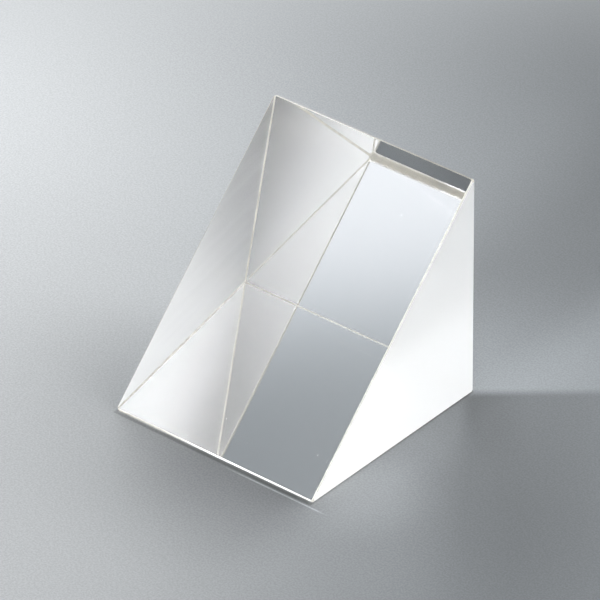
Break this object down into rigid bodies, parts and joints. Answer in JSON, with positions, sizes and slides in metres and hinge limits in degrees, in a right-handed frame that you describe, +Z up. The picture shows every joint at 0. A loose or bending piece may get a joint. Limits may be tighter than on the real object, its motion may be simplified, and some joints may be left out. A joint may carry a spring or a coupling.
{
  "type": "right angle prism",
  "caption": "Solid glass right angle prism with polished faces, fine-ground triangular ends and ground edge bevels, for turning or folding back a beam of light.",
  "frame": {"origin": "middle of the base leg at the height of the surface the prism stands on; the depth is counted between the sharp corners of the section, before they are bevelled", "axes": "+Z up, +X along the length from one ground end to the other, +Y out of the upright leg; the slope faces -Y and +Z"},
  "size_m": [0.025, 0.0246, 0.0246],
  "materials": {
    "optical_glass": "polished"
  },
  "bodies": {
    "root": {"prism": "optical_glass"}
  },
  "joints": []
}
